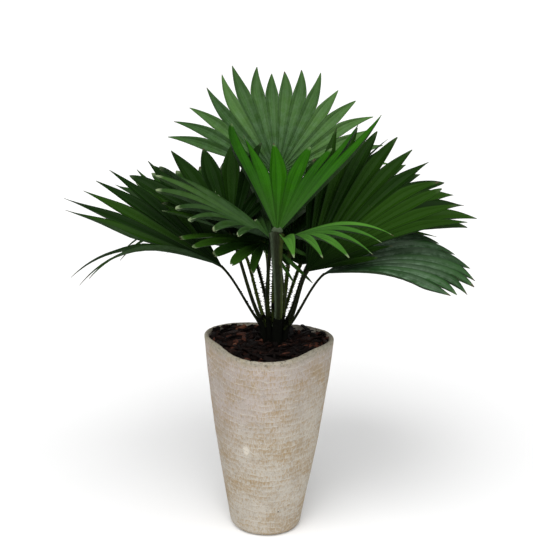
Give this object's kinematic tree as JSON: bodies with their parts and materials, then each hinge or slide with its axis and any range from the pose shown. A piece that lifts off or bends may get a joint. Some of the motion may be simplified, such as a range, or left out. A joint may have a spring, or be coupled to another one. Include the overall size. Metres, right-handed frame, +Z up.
{
  "type": "potted footstool palm",
  "caption": "Footstool palm with pleated fan leaves on thorny stalks, in a tall tapering pot with a softly three-cornered rim, filled with bark mulch.",
  "frame": {"origin": "middle of the pot's flat underside", "axes": "+Z up, -Y towards the side that the picture is taken from, +X to its right"},
  "size_m": [1.0173, 0.8804, 1.1233],
  "materials": {
    "pot_clay": "matt whitish grey and tan fibre clay, brushed in short upright strokes",
    "soil_mulch": "dark moist potting mix under bark chips",
    "crown_fibre": "dark brown fibrous leaf bases",
    "stalk_skin": "smooth dark green to black leaf stalks with short thorns",
    "leaf_blade": "pleated green leaf blade with a grey sheen"
  },
  "bodies": {
    "root": {"pot": "pot_clay", "soil": "soil_mulch", "crown_base": "crown_fibre", "stalk_front": "stalk_skin", "fan_front": "leaf_blade", "stalk_front_right": "stalk_skin", "fan_front_right": "leaf_blade", "stalk_top": "stalk_skin", "fan_top": "leaf_blade", "stalk_right_far": "stalk_skin", "fan_right_far": "leaf_blade", "stalk_right_near": "stalk_skin", "fan_right_near": "leaf_blade", "stalk_left_far": "stalk_skin", "fan_left_far": "leaf_blade", "stalk_left_upper": "stalk_skin", "fan_left_upper": "leaf_blade", "stalk_middle": "stalk_skin", "fan_middle": "leaf_blade", "stalk_front_low": "stalk_skin", "fan_front_low": "leaf_blade", "stalk_upper": "stalk_skin", "fan_upper": "leaf_blade", "stalk_right_back": "stalk_skin", "fan_right_back": "leaf_blade", "stalk_left_back": "stalk_skin", "fan_left_back": "leaf_blade", "stalk_back_right": "stalk_skin", "fan_back_right": "leaf_blade", "stalk_back_left": "stalk_skin", "fan_back_left": "leaf_blade"}
  },
  "joints": []
}
